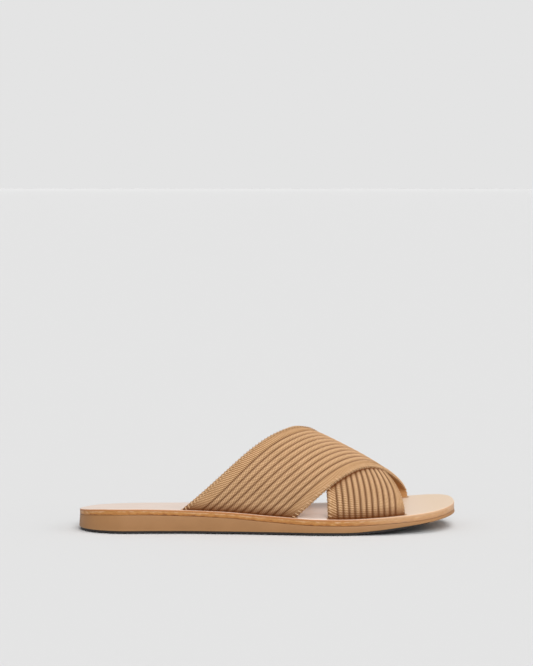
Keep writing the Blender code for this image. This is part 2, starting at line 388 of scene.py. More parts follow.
@dataclass
class SoleForm:
    """The sole's outline and the heights of its layers, as functions of the station."""

    length: float
    ball_width: float = 0.0878
    heel_height: float = 0.0170
    toe_spring: float = 0.0084
    cant: float = 0.0036
    heel_round: float = 0.0345
    heel_squareness: float = 2.05
    toe_round: float = 0.0413
    toe_squareness: float = 2.6
    insole_thickness: float = 0.0009
    midsole_thickness: float = 0.0024
    layer_gap: float = 0.0003
    steps: int = 180

    def __post_init__(self) -> None:
        """Read the table's columns as lengths over the station."""
        stations = [row.station * self.length for row in SOLE_ROWS]

        def column(name: str, size: float) -> Curve:
            """Return one column of the table, times its size."""
            return smooth_curve(stations, [getattr(row, name) * size for row in SOLE_ROWS])

        self.half_width = column("width", self.ball_width / 2)
        self.offset = column("offset", self.ball_width)
        self.outer_top = column("top", self.heel_height)
        self.bottom = column("bottom", self.toe_spring)
        self.inner_rise = column("cant", self.cant)
        self.midsole_depth = column("midsole", self.midsole_thickness)
        outer, inner = self.edges(self.stations())
        self.shift = -(outer.min() + inner.max()) / 2

    def stations(self) -> Array:
        """Stations from heel to toe, closer together at the round ends."""
        return self.length * (1 - np.cos(np.linspace(0.0, math.pi, self.steps + 1))) / 2

    def taper(self, station: Array) -> Array:
        """Share of the width that the round heel and the squarer toe leave.

        Args:
            station: Stations.

        Returns:
            Shares from 0 to 1.
        """
        heel = np.clip(1 - station / self.heel_round, 0.0, 1.0)
        toe = np.clip((station - self.length + self.toe_round) / self.toe_round, 0.0, 1.0)
        heel_share = (1 - heel**self.heel_squareness) ** (1 / self.heel_squareness)
        return heel_share * (1 - toe**self.toe_squareness) ** (1 / self.toe_squareness)

    def reach(self, station: Array) -> Array:
        """Half the outline's width at a station."""
        return self.half_width(station) * self.taper(station)

    def edges(self, station: Array) -> tuple[Array, Array]:
        """Outer and inner edge of the outline, across from the table's axis."""
        return self.offset(station) - self.reach(station), self.offset(station) + self.reach(station)

    def insole_top(self, station: Array, across: Array) -> Array:
        """Height of the footbed.

        Args:
            station: Stations.
            across: Places across from the table's axis.

        Returns:
            Heights above the floor.
        """
        half = self.half_width(station)
        inward = np.clip((across - self.offset(station) + half) / (2 * half), 0.0, 1.0)
        return self.outer_top(station) + self.inner_rise(station) * inward

    def midsole_top(self, station: Array, across: Array) -> Array:
        """Height of the midsole's upper face."""
        return self.insole_top(station, across) - self.insole_thickness - self.layer_gap

    def outsole_top(self, station: Array, across: Array) -> Array:
        """Height of the outsole's upper face."""
        return self.midsole_top(station, across) - self.midsole_depth(station) - self.layer_gap

    def outline(self, inset: float) -> Array:
        """Points of the outline, moved inwards by a distance.

        Args:
            inset: How far inwards.

        Returns:
            Station and place across, along the outer side to the toe and back along the inner side.
        """
        station = self.stations()
        outer, inner = self.edges(station)
        points = np.vstack([np.column_stack([station, outer]), np.column_stack([station, inner])[-2:0:-1]])
        run = np.roll(points, -1, axis=0) - np.roll(points, 1, axis=0)
        inward = np.column_stack([-run[:, 1], run[:, 0]])
        return points + inward / np.linalg.norm(inward, axis=1)[:, None] * inset

    def to_world(self, station: Array, across: Array, height: Array) -> Array:
        """Place points of the table in the world."""
        return np.column_stack([station - self.length / 2, across + self.shift, height])


class Ring(NamedTuple):
    """One closed line round a sole layer."""

    inset: float  # from the outline
    height: Height
    rise: float  # above that height
    level: float  # from 0 at the wall's foot to 1 at its top, and below 0 on the tread


@dataclass
class SoleLayer:
    """A layer of the sole: a closed slab that follows the outline, with rounded edges."""

    form: SoleForm
    name: str
    node: str
    slot: str
    wall_inset: float
    edge_round: float
    foot_round: float = 0.0007
    round_steps: int = 4
    round_level: float = 0.1
    columns: int = 10

    def low(self, station: Array, across: Array) -> Array:
        """Height of the layer's lower face."""
        raise NotImplementedError

    def high(self, station: Array, across: Array) -> Array:
        """Height of the layer's upper face."""
        raise NotImplementedError

    def ground(self, station: Array, across: Array) -> Array:
        """Height of the face that closes the layer below."""
        return self.low(station, across)

    def rings(self) -> tuple[list[Ring], list[Ring]]:
        """Rings of the wall: those of the round at its foot and those of the round at its top.

        Returns:
            The two lists of rings, from the lowest up.
        """
        foot, top = [], []
        for share in np.linspace(0.0, 1.0, self.round_steps + 1):
            sine, cosine = math.sin(math.pi / 2 * share), math.cos(math.pi / 2 * share)
            inset, rise = self.foot_round * (1 - sine), self.foot_round * (1 - cosine)
            foot.append(Ring(self.wall_inset + inset, self.low, rise, self.round_level * share))
            inset, drop = self.edge_round * (1 - cosine), self.edge_round * (1 - sine)
            level = 1 - self.round_level * (1 - share)
            top.append(Ring(self.wall_inset + inset, self.high, -drop, level))
        return foot, top

    def build(self) -> Object:
        """Loft the wall through its rings and close it with a grid of faces above and below.

        Returns:
            The layer as one closed mesh, with the attributes level and around.
        """
        form = self.form
        foot, top = self.rings()
        rings = foot + top
        points, levels, around = [], [], []
        for ring in rings:
            plan = form.outline(ring.inset)
            height = ring.height(np.clip(plan[:, 0], 0.0, form.length), plan[:, 1]) + ring.rise
            points.append(form.to_world(plan[:, 0], plan[:, 1], height))
            levels.append(np.full(len(plan), ring.level))
            run = np.linalg.norm(np.diff(plan, axis=0, append=plan[:1]), axis=1)
            around.append(np.concatenate([[0.0], np.cumsum(run)[:-1]]))
        count = len(points[0])
        total = count * len(rings)
        faces = loft_faces(len(rings), count, capped=False)
        share = np.linspace(0.0, 1.0, self.columns + 1)[1:-1, None]
        for k, height in ((0, self.ground), (len(rings) - 1, self.high)):
            start = k * count
            rows = [[start]]
            for i in range(1, form.steps):
                inside = between(points[k][i], points[k][count - i], share)
                place = np.clip(inside[:, 0] + form.length / 2, 0.0, form.length)
                inside[:, 2] = height(place, inside[:, 1] - form.shift)
                points.append(inside)
                levels.append(np.full(len(inside), rings[k].level))
                around.append(np.zeros(len(inside)))
                rows.append([start + i, *range(total, total + len(inside)), start + count - i])
                total += len(inside)
            rows.append([start + form.steps])
            for pair in zip(rows, rows[1:]):
                near, far = (row if len(row) > 1 else row * max(map(len, pair)) for row in pair)
                # At the heel and the toe a row is one point, which then counts once in each face.
                faces += [tuple(dict.fromkeys(face)) for face in zip(near, near[1:], far[1:], far)]
        attributes = {"level": np.concatenate(levels), "around": np.concatenate(around)}
        return make_object(self.name, np.vstack(points), faces, attributes)


@dataclass
class Outsole(SoleLayer):
    """The one-piece wedge: a wall that ends just above the floor and a ribbed tread set in from it."""

    name: str = "outsole_wedge"
    node: str = "outsole"
    slot: str = "outsole_rubber"
    wall_inset: float = 0.0
    edge_round: float = 0.0007
    draft: float = 0.0004  # how far the wall's top is drawn in
    tread_step: float = 0.0020
    tread_inset: float = 0.0008
    tread_round: float = 0.0003
    tread_level: float = -1.0
    rib_pitch: float = 0.0040
    rib_width: float = 0.0026
    rib_height: float = 0.0006
    rib_margin: float = 0.0022
    rib_chamfer: float = 0.0002
    rib_root: float = 0.0004  # how deep a rib sits in the tread
    first_rib: float = 0.0060  # from the tread's rear edge
    last_rib: float = 0.76  # as a share of the length, like the next three
    fade_from: float = 0.80
    fade_to: float = 0.96
    # how far the near-black tread, partly a painted contact shadow, reaches
    contact_shadow_to: float = 0.92
    faded: float = 0.85
    path_points: int = 240

    def fade(self, station: Array) -> Array:
        """Share of the tread's depth that is left where it runs out under the toe."""
        share = (station / self.form.length - self.fade_from) / (self.fade_to - self.fade_from)
        return 1 - self.faded * smooth_step(share)

    def tread(self, station: Array) -> Array:
        """Height of the tread's walking face."""
        return self.form.bottom(station) + self.tread_step * (1 - self.fade(station))

    def low(self, station: Array, across: Array) -> Array:
        """Height of the wall's lower edge."""
        return self.form.bottom(station) + self.tread_step

    def high(self, station: Array, across: Array) -> Array:
        """Height of the face under the midsole."""
        return self.form.outsole_top(station, across)

    def ground(self, station: Array, across: Array) -> Array:
        """Height of the tread between its ribs."""
        return self.tread(station) + self.rib_height * self.fade(station)

    def rings(self) -> tuple[list[Ring], list[Ring]]:
        """The wall's rings, with the tread's step below and the top drawn in.

        Returns:
            The two lists of rings, from the lowest up.
        """
        inset, chamfer, level = self.tread_inset, self.tread_round / 3, self.tread_level
        tread = [
            Ring(inset + self.tread_round, self.ground, 0.0, level),
            Ring(inset, self.ground, chamfer, level),
            Ring(inset - chamfer, self.low, 0.0, level),
        ]
        foot, top = super().rings()
        return tread + foot, [ring._replace(inset=ring.inset + self.draft) for ring in top]

    def dress(self, wedge: Object, body: Material, tread: Material) -> None:
        """Give the wedge its rubber, and the tread below it the darker one, which also paints the contact
        shadow under the heel and the ball.

        Args:
            wedge: The built wedge.
            body: Finish of the wall.
            tread: Finish of the tread, near-black partly as painted contact shadow.
        """
        wedge.data.materials.append(body)
        wedge.data.materials.append(tread)
        levels = wedge.data.attributes["level"].data
        front = self.form.length * (self.contact_shadow_to - 0.5)
        for face in wedge.data.polygons:
            below = all(levels[i].value < 0 for i in face.vertices)
            face.material_index = int(below and face.center.x < front)

    def build_ribs(self, finish: Material) -> Object:
        """Lay the tread's cross ribs along the sole's axis with Geometry Nodes.

        Args:
            finish: Finish of the ribs.

        Returns:
            The ribs as one plain mesh.
        """
        form = self.form
        first, last = self.tread_inset + self.first_rib, form.length * self.last_rib
        station = np.linspace(first, last, self.path_points)
        reach = form.reach(station) - self.tread_inset - self.rib_margin
        path = form.to_world(station, form.offset(station), self.tread(station))
        down, forward = (np.tile(way, (len(station), 1)) for way in (DOWN, FORWARD))
        size = np.column_stack([np.ones_like(reach), reach, self.fade(station)])
        return repeat_along("tread_ribs", path, down, self.rib_bar(), self.rib_pitch, finish, size, forward)

    def rib_bar(self) -> Object:
        """One rib: a bar with chamfered edges, one unit to each side, its crown on the floor.

        Returns:
            The bar about the origin, X along the sole, Z up from the floor.
        """
        half, deep = self.rib_width / 2, self.rib_height + self.rib_root
        front = [(half - self.rib_chamfer, 0.0), (half, -self.rib_chamfer), (half, -deep)]
        section = [(-x, z) for x, z in reversed(front)] + front
        points = [(x, y, z) for y in (-1.0, 1.0) for x, z in section]
        return make_object("rib_bar", points, loft_faces(2, len(section)))


@dataclass
class Midsole(SoleLayer):
    """The burnished leather layer between the outsole and the footbed."""

    name: str = "midsole_layer"
    node: str = "midsole"
    slot: str = "midsole_leather"
    wall_inset: float = 0.0004
    edge_round: float = 0.00004
    foot_round: float = 0.0003
    seat: float = 0.00003

    def low(self, station: Array, across: Array) -> Array:
        """Height of the face on the outsole."""
        return self.form.outsole_top(station, across) + self.seat

    def high(self, station: Array, across: Array) -> Array:
        """Height of the face under the insole."""
        return self.form.midsole_top(station, across)


@dataclass
class Insole(SoleLayer):
    """The thin pale footbed sheet."""

    name: str = "insole_sheet"
    node: str = "insole"
    slot: str = "insole_leather"
    wall_inset: float = 0.0004
    edge_round: float = 0.0005
    foot_round: float = 0.00004
    seat: float = -0.00025
    columns: int = 16

    def low(self, station: Array, across: Array) -> Array:
        """Height of the face on the midsole."""
        return self.form.midsole_top(station, across) + self.seat

    def high(self, station: Array, across: Array) -> Array:
        """Height of the footbed."""
        return self.form.insole_top(station, across)


# Straps


class StrapRoute(NamedTuple):
    """Where a strap leaves the sole, as shares of the length, and how it curves in plan."""

    outer_rear: float
    outer_front: float
    inner_rear: float
    inner_front: float
    rear_bend: float
    front_bend: float
    lies_over: bool


OVER_ROUTE = StrapRoute(0.272, 0.567, 0.695, 0.888, 2.20, 2.20, True)
UNDER_ROUTE = StrapRoute(0.649, 0.852, 0.364, 0.612, 2.35, 2.45, False)

# The last's ridge: shares of the length, and of the ridge height.
RIDGE_STATIONS = (0.27, 0.42, 0.58, 0.73, 0.88)
RIDGE_HEIGHTS = (1.000, 0.988, 0.847, 0.625, 0.336)

# Inputs of the relief tree, named as the strap's fields are.
RELIEF_SIZES = (
    *("Rib count", "Rib rise", "Rib roundness", "Groove sharpness", "Row pitch", "Row rise"),
    *("Band rise", "Band roundness", "Band slope", "Edge slope"),
)
PROBE = 0.001  # height between two points that show which way is outward


@dataclass
class Last:
    """The arch over the foot that the straps lie on."""

    form: SoleForm
    ridge_height: float = 0.0824
    ridge_shift: float = 0.0055
    ledge: float = 0.0040
    strap_depth: float = 0.0023

    def __post_init__(self) -> None:
        """Read the ridge's table."""
        stations = [share * self.form.length for share in RIDGE_STATIONS]
        self.ridge = smooth_curve(stations, [share * self.ridge_height for share in RIDGE_HEIGHTS])

    def point(self, station: Array, over: Array, height: Array) -> tuple[Array, Array]:
        """Place on the arch.

        Args:
            station: Stations.
            over: Share of the way from the outer to the inner side.
            height: Height above the straps' inner face.

        Returns:
            Place across from the table's axis, and height above the floor.
        """
        form = self.form
        cosine, sine = np.cos(math.pi * over), np.sin(math.pi * over)
        grown = height - self.strap_depth
        reach = form.reach(station) - self.ledge + grown
        across = form.offset(station) - reach * cosine + self.ridge_shift * sine
        foot = form.outer_top(station) + form.inner_rise(station) * (1 - cosine) / 2
        middle = form.outer_top(station) + form.inner_rise(station) / 2
        return across, foot + (self.ridge(station) + grown - middle) * sine


@dataclass
class KnitStrap:
    """A broad strap of ribbed knit: flat border bands, round ribs between them, and a smooth lining."""

    last: Last
    route: StrapRoute
    name: str
    covered_by: "KnitStrap | None" = None
    first_groove: tuple[float, float] = (0.0092, 0.0071)  # from the rear edge, at the feet and on top
    last_groove: tuple[float, float] = (0.0455, 0.0457)  # from the rear edge, at the feet and on top
    width: float = 0.0526
    wall: float = 0.0014
    edge_wall: float = 0.55  # share of the wall that is left at the edges
    edge_round: float = 0.0009
    lining_round: float = 0.12  # share of the wall that the lining rises at the edges
    rib_count: int = 10
    rib_rise: float = 0.0011
    rib_roundness: float = 2.2
    groove_sharpness: float = 3.6
    band_rise: float = 0.0009
    band_roundness: float = 2.6
    band_slope: float = 2.5  # how often the slope beside a groove fits into a rib's width
    edge_slope: float = 0.0012
    row_rise: float = 0.00005
    row_pitch: float = 0.00128
    lift: float = 0.0017
    crossing: tuple[float, float] = (0.11, 0.86)
    spread_length: float = 0.30
    point_pitch: float = 0.0004
    rows: int = 470
    foot_rows: int = 4
    inner_points: int = 14
    path_points: int = 300
    # Painted shadow beside the top strap's edges: distance where it is full, and how fast it fades.
    tuck_distance: float = 0.0016
    tuck_fade: float = 0.0009
    stitch_pitch: float = 0.00255
    stitch_reach: float = 0.0026
    stitch_slant: float = 0.0012
    yarn_radius: float = 0.00040
    slot_clearance: float = 0.0002
    cutter_rise: float = 0.002  # how far the slot's cutter stands above the footbed
    cutter_points: int = 61

    def station(self, across: Array, over: Array) -> Array:
        """Station of a place on the strap, from shares of its width and of the way over.

        Args:
            across: Shares of the width, from the rear edge.
            over: Shares of the way over, from 0 to 1.

        Returns:
            The stations.
        """
        route = self.route
        outer = between(route.outer_rear, route.outer_front, across)
        inner = between(route.inner_rear, route.inner_front, across)
        bend = between(route.rear_bend, route.front_bend, across)
        gone = 1 - (1 - over) ** bend if route.lies_over else over**bend
        return self.last.form.length * between(outer, inner, gone)

    def raised(self, over: Array) -> Array:
        """How far the strap on top stands above the last.

        Args:
            over: Shares of the way over.

        Returns:
            The distances, which are 0 for the strap below.
        """
        if not self.route.lies_over:
            return np.zeros_like(over)
        up, down = over / self.crossing[0], (1 - over) / (1 - self.crossing[1])
        return self.lift * smooth_step(up) * smooth_step(down)

    def surface(self, across: Array, over: Array, height: Array) -> Array:
        """World points of the strap.

        Args:
            across: Shares of the width, from the rear edge.
            over: Shares of the way over. Values past 0 and 1 go straight down into the slots.
            height: Heights above the inner face.

        Returns:
            One row for each point.
        """
        form = self.last.form
        inside = np.clip(over, 0.0, 1.0)
        station = self.station(across, inside)
        place, level = self.last.point(station, inside, height + self.raised(inside))
        beyond = np.clip(np.maximum(-over, over - 1), 0.0, 1.0)
        level = between(level, form.outsole_top(station, place) + self.slot_clearance, beyond)
        return form.to_world(station, place, level)

    def run(self, over: Array) -> Array:
        """Distance along the strap's middle line from the outer foot.

        Args:
            over: Shares of the way over.

        Returns:
            The distances.
        """
        share = np.linspace(0.0, 1.0, self.path_points)
        points = self.surface(np.full_like(share, 0.5), share, np.zeros_like(share))
        steps = np.linalg.norm(np.diff(points, axis=0), axis=1)
        return np.interp(over, share, np.concatenate([[0.0], np.cumsum(steps)]))

    def rib_place(self, share: Array, over: Array) -> Array:
        """Place across the strap in ribs: 0 at the first groove, the rib count at the last.

        Args:
            share: Shares of the width.
            over: Shares of the way over.

        Returns:
            The places.
        """
        up = smooth_step(np.minimum(over, 1 - over) / self.spread_length)
        first, last = between(*self.first_groove, up), between(*self.last_groove, up)
        return (share * self.width - first) / (last - first) * self.rib_count

    def above_footbed(self, share: Array, over: Array, points: Array) -> Array:
        """Height of points of the strap above the footbed."""
        form = self.last.form
        return points[:, 2] - form.insole_top(self.station(share, over), points[:, 1] - form.shift)

    def tucked(self, points: Array) -> Array:
        """Share of painted shadow that the edges of the strap on top throw on points of this one.

        Args:
            points: World points.

        Returns:
            Shares from 0 to 1.
        """
        if self.covered_by is None:
            return np.zeros(len(points))
        nearest = np.full(len(points), np.inf)
        for edge in Edge:
            for place in self.covered_by.edge_path(edge)[0][::2]:
                nearest = np.minimum(nearest, np.linalg.norm(points - place, axis=1))
        return np.exp(-np.maximum(nearest - self.tuck_distance, 0.0) / self.tuck_fade)

    def section(self) -> tuple[Array, Array, Array]:
        """The strap's cross section, out over the ribs and back along the lining.

        Returns:
            Shares of the width, base heights, and 1 for points of the ribbed face or 0 for the lining.
        """
        share = np.linspace(0.0, 1.0, round(self.width / self.point_pitch) + 1)
        edge = np.minimum(share, 1 - share) * self.width
        base = self.wall * between(self.edge_wall, 1.0, smooth_step(edge / self.edge_round))
        back = np.linspace(1.0, 0.0, self.inner_points)
        inner = np.where(np.minimum(back, 1 - back) > 0, 0.0, self.wall * self.lining_round)
        ribbed = np.concatenate([np.ones_like(share), np.zeros_like(back)])
        return np.concatenate([share, back]), np.concatenate([base, inner]), ribbed

    def build(self, knit: Material, lining: Material) -> Object:
        """Loft the strap's closed wall, then raise its ribs and knitted rows with Geometry Nodes.

        Args:
            knit: Finish of the ribbed face.
            lining: Finish of the inner face.

        Returns:
            The strap as one plain mesh.
        """
        share, base, ribbed = self.section()
        feet = np.linspace(0.0, 1.0, self.foot_rows + 1)
        rows = np.concatenate([feet[:-1] - 1, np.linspace(0.0, 1.0, self.rows + 1), feet[1:] + 1])
        lined = np.tile(ribbed + np.roll(ribbed, -1) < 0.5, len(rows) - 1)
        over = np.repeat(rows, len(share))
        faces = loft_faces(len(rows), len(share))
        share, base, ribbed = (np.tile(column, len(rows)) for column in (share, base, ribbed))
        points = self.surface(share, over, base)
        inside = np.clip(over, 0.0, 1.0)
        out = self.surface(share, over, base + PROBE) - points
        out[inside != over, 2] = 0.0
        attributes = {
            "edge": np.minimum(share, 1 - share) * self.width,
            "along": self.run(inside),
            "rib": self.rib_place(share, inside),
            "foot": self.above_footbed(share, inside, points),
            "tucked": self.tucked(points),
            "ribbed": ribbed,
            "out": out / np.linalg.norm(out, axis=1)[:, None],
        }
        strap = make_object(self.name, points, faces, attributes, sharp_angle=60.0)
        strap.data.materials.append(knit)
        strap.data.materials.append(lining)
        strap.data.polygons.foreach_set("material_index", [*map(int, lined), 0, 0])
        fields = {label: label.lower().replace(" ", "_") for label in RELIEF_SIZES}
        sizes = {label: float(getattr(self, name)) for label, name in fields.items()}
        use_tree(strap, knit_relief_tree(), sizes)
        return bake_modifiers(strap)

    def edge_path(self, edge: Edge) -> tuple[Array, Array]:
        """A long edge of the strap, halfway through its wall, and the outward direction along it.

        Args:
            edge: Which long edge.

        Returns:
            Points of the path, and a unit vector for each.
        """
        over = np.linspace(0.0, 1.0, self.path_points)
        share, half = np.full_like(over, edge.value), np.full_like(over, self.wall / 2)
        path = self.surface(share, over, half)
        out = self.surface(share, over, half + PROBE) - path
        return path, out / np.linalg.norm(out, axis=1)[:, None]

    def build_stitches(self, edge: Edge, yarn: Material) -> Object:
        """Whip the strap's edge with slanted stitches, laid by Geometry Nodes.

        Args:
            edge: Which long edge.
            yarn: Finish of the stitches.

        Returns:
            The stitches as one plain mesh.
        """
        path, out = self.edge_path(edge)
        loop = self.stitch_loop(-1.0 if edge is Edge.REAR else 1.0)
        name = f"{self.name}_{edge.name.lower()}_stitches"
        return repeat_along(name, path, out, loop, self.stitch_pitch, yarn)

    def stitch_loop(self, inward: float) -> Object:
        """One stitch: a yarn that comes up inside the edge, goes round it and ends on the lining.

        Args:
            inward: 1 where the strap lies to the left of its edge's run, -1 where it lies to the right.

        Returns:
            The stitch about the origin, X along the edge, Z out of the strap.
        """
        low, top = -self.wall / 2, self.wall / 2 + self.band_rise
        reach, slant = self.stitch_reach, self.stitch_slant
        # Along the edge, inwards from it and out of the strap.
        route = (
            (-slant, reach, top - 0.00015),
            (-slant * 0.8, reach * 0.8, top + 0.00012),
            (-slant * 0.35, reach * 0.35, top + 0.00002),
            (-slant * 0.1, 0.0, self.wall * 0.55),
            (0.0, -0.00012, 0.0),
            (0.0, 0.0, low * 0.8),
            (slant * 0.2, 0.0010, low - 0.00005),
        )
        return tube("stitch_loop", np.array(route) * (1.0, inward, 1.0), self.yarn_radius)

    def slot_cutter(self, side: Side) -> Object:
        """A curved blade that clears one end of the strap through the insole and the midsole.

        Args:
            side: Which end of the strap.

        Returns:
            The blade, a closed mesh.
        """
        form, over, spare = self.last.form, side.value, self.slot_clearance
        rear, front = self.station(np.array([0.0, 1.0]), np.array([over, over]))
        station = np.linspace(rear - spare, front + spare, self.cutter_points)
        heights = (-spare, self.wall + self.rib_rise + spare)
        places = [self.last.point(station, np.full_like(station, over), height)[0] for height in heights]
        low = [form.outsole_top(station, place) + spare / 2 for place in places]
        high = [form.insole_top(station, place) + self.cutter_rise for place in places]
        corners = ((0, low), (0, high), (1, high), (1, low))
        lines = [form.to_world(station, places[k], level[k]) for k, level in corners]
        points = np.stack(lines, axis=1).reshape(-1, 3)
        return make_object(f"{self.name}_{side.name.lower()}_slot", points, loft_faces(len(station), 4))


def tube(name: str, spine: Array, radius: float, sides: int = 6, tip: float = 0.55) -> Object:
    """Make a closed tube along a few points.

    Args:
        name: Object name.
        spine: Points that the tube follows.
        radius: Radius of the tube.
        sides: Faces round it.
        tip: Share of the radius that is left at both ends.

    Returns:
        The tube.
    """
    points = []
    for i, centre in enumerate(spine):
        run = spine[min(i + 1, len(spine) - 1)] - spine[max(i - 1, 0)]
        first = np.cross(run, FORWARD)
        second = np.cross(run, first) / np.linalg.norm(run)
        size = radius * (tip if i in (0, len(spine) - 1) else 1.0) / np.linalg.norm(first)
        for turn in np.arange(sides) * math.tau / sides:
            points.append(centre + size * (first * math.cos(turn) + second * math.sin(turn)))
    return make_object(name, points, loft_faces(len(spine), sides))


# Geometry Nodes


def use_tree(obj: Object, tree: Tree, values: dict) -> None:
    """Put a Geometry Nodes tree on an object and set its named inputs.

    Args:
        obj: Object that the tree shapes.
        tree: The tree.
        values: Value of each input, by its name.
    """
    modifier = obj.modifiers.new(tree.name, "NODES")
    modifier.node_group = tree
    for item in tree.interface.items_tree:
        if item.item_type == "SOCKET" and item.in_out == "INPUT" and item.name in values:
            modifier[item.identifier] = values[item.name]


def new_tree(name: str, inputs: dict[str, str]) -> tuple[Tree, dict[str, Socket], Socket]:
    """Start a Geometry Nodes tree with a geometry input and output and other named inputs.

    Args:
        name: Name of the tree.
        inputs: Socket type of each further input, by name.

    Returns:
        The tree, what it is given by name, and the socket for its result.
    """
    tree = bpy.data.node_groups.new(name, "GeometryNodeTree")
    for label, kind in {"Geometry": "NodeSocketGeometry", **inputs}.items():
        tree.interface.new_socket(label, in_out="INPUT", socket_type=kind)
    tree.interface.new_socket("Geometry", in_out="OUTPUT", socket_type="NodeSocketGeometry")
    given, result = tree.nodes.new("NodeGroupInput").outputs, tree.nodes.new("NodeGroupOutput").inputs[0]
    return tree, {label: given[label] for label in ("Geometry", *inputs)}, result


def knit_relief_tree() -> Tree:
    """Tree that raises ribs, border bands and knitted rows on a strap, from its own attributes.

    Returns:
        The tree. It also stores how deep each point lies in a groove, for the finish's painted groove shade.
    """
    tree, given, result = new_tree("knit_relief", {label: "NodeSocketFloat" for label in RELIEF_SIZES})
    math_node = partial(calculate, tree)
    rib, edge, along, ribbed = (point_attribute(tree, label) for label in ("rib", "edge", "along", "ribbed"))
    past = past_grooves(tree, rib, given["Rib count"])
    on_band = math_node("GREATER_THAN", past, 0.0)
    rib_side = math_node("ABSOLUTE", math_node("MULTIPLY_ADD", math_node("FRACT", rib), 2.0, -1.0))
    sloped = math_node("MINIMUM", math_node("MULTIPLY", past, given["Band slope"]), 1.0)
    band_side = math_node("SUBTRACT", 1.0, sloped)
    side = choose(tree, on_band, rib_side, band_side)
    groove = math_node("MULTIPLY", math_node("POWER", side, given["Groove sharpness"]), ribbed)
    rib_crown = math_node("SUBTRACT", 1.0, math_node("POWER", side, given["Rib roundness"]))
    inwards = math_node("MINIMUM", math_node("DIVIDE", edge, given["Edge slope"]), 1.0)
    band_side = math_node("MAXIMUM", side, math_node("SUBTRACT", 1.0, inwards))
    band_crown = math_node("SUBTRACT", 1.0, math_node("POWER", band_side, given["Band roundness"]))
    rib_height = math_node("MULTIPLY", rib_crown, given["Rib rise"])
    band_height = math_node("MULTIPLY", band_crown, given["Band rise"])
    row_turn = math_node("MULTIPLY", math_node("DIVIDE", along, given["Row pitch"]), math.tau)
    rise = choose(tree, on_band, rib_height, band_height)
    rise = math_node("MULTIPLY_ADD", math_node("SINE", row_turn), given["Row rise"], rise)
    scaled = {0: point_attribute(tree, "out", "FLOAT_VECTOR"), 3: math_node("MULTIPLY", rise, ribbed)}
    offset = add_node(tree, "ShaderNodeVectorMath", scaled, operation="SCALE").outputs[0]
    moved = add_node(tree, "GeometryNodeSetPosition", {"Geometry": given["Geometry"], "Offset": offset})
    kept = {"Geometry": moved.outputs[0], "Name": "groove", "Value": groove}
    stored = add_node(tree, "GeometryNodeStoreNamedAttribute", kept, data_type="FLOAT", domain="POINT")
    tree.links.new(stored.outputs[0], result)
    return tree


def repeat_tree() -> Tree:
    """Tree that repeats a piece along a path of points, turned and sized by the points' attributes.

    Returns:
        The tree.
    """
    inputs = {"Piece": "NodeSocketObject", "Pitch": "NodeSocketFloat", "Finish": "NodeSocketMaterial"}
    tree, given, result = new_tree("repeat_along_path", inputs)
    out, size, way = (point_attribute(tree, label, "FLOAT_VECTOR") for label in ("out", "size", "way"))
    path = add_node(tree, "GeometryNodeMeshToCurve", {0: given["Geometry"]}).outputs[0]
    spacing = {"Curve": path, "Length": given["Pitch"]}
    spaced = add_node(tree, "GeometryNodeResampleCurve", spacing, mode="LENGTH").outputs[0]
    axes = {"Primary Axis": out, "Secondary Axis": way}
    turn = add_node(tree, "FunctionNodeAxesToRotation", axes, primary_axis="Z", secondary_axis="X").outputs[0]
    piece = add_node(tree, "GeometryNodeObjectInfo", {"Object": given["Piece"]}, transform_space="ORIGINAL")
    laid = {"Points": spaced, "Instance": piece.outputs["Geometry"], "Rotation": turn, "Scale": size}
    placed = add_node(tree, "GeometryNodeInstanceOnPoints", laid).outputs[0]
    real = add_node(tree, "GeometryNodeRealizeInstances", {0: placed}).outputs[0]
    finished = add_node(tree, "GeometryNodeSetMaterial", {"Geometry": real, "Material": given["Finish"]})
    tree.links.new(finished.outputs[0], result)
    return tree


def repeat_along(
    name: str,
    path: Array,
    out: Array,
    piece: Object,
    pitch: float,
    finish: Material,
    size: Array | None = None,
    way: Array | None = None,
) -> Object:
    """Repeat a piece along a path and bake the result.

    Args:
        name: Name of the result.
        path: Points of the path.
        out: Outward direction at each point, which becomes the piece's Z.
        piece: The piece, about the origin. It is removed afterwards.
        pitch: Distance from one to the next.
        finish: Material of the result.
        size: Size of the piece at each point.
        way: Direction of the piece's X at each point, if it isn't the path's own.

    Returns:
        The repeated pieces as one plain mesh.
    """
    size = np.ones_like(path) if size is None else size
    way = np.gradient(path, axis=0) if way is None else way
    chain = bpy.data.meshes.new(name)
    chain.from_pydata([tuple(p) for p in path], [(i, i + 1) for i in range(len(path) - 1)], [])
    store(chain, {"out": out, "size": size, "way": way})
    obj = link(name, chain)
    use_tree(obj, repeat_tree(), {"Piece": piece, "Pitch": pitch, "Finish": finish})
    return bake_modifiers(obj, piece)


# Finishes


@dataclass(frozen=True)
class Finish:
    """What every finish starts from: one Principled surface with a colour and a fine relief."""

    name: str
    roughness: float
    relief: float  # strength of the bump
    relief_depth: float = 0.0001
    ior: float = 1.5
    specular: float = 0.5
    coat: float = 0.0
    coat_roughness: float = 0.03

    def paint(self, tree: Tree, place: Socket) -> tuple[Socket, Socket]:
        """Add the nodes of the colour and of the relief, from object coordinates and attributes.

        Args:
            tree: The material's node tree.
            place: Object coordinates.

        Returns:
            The colour and the height.
        """
        raise NotImplementedError

    def material(self) -> Material:
        """Build the material.

        Returns:
            The material, with its constants on the Principled node's own sockets.
        """
        values = {
            "Roughness": self.roughness,
            "IOR": self.ior,
            "Specular IOR Level": self.specular,
            "Coat Weight": self.coat,
            "Coat Roughness": self.coat_roughness,
        }
        material, shader = principled(self.name, values)
        tree = material.node_tree
        colour, height = self.paint(tree, add_node(tree, "ShaderNodeTexCoord").outputs["Object"])
        bump = {"Strength": self.relief, "Distance": self.relief_depth, "Height": height}
        tree.links.new(colour, shader.inputs["Base Color"])
        tree.links.new(add_node(tree, "ShaderNodeBump", bump).outputs[0], shader.inputs["Normal"])
        return material


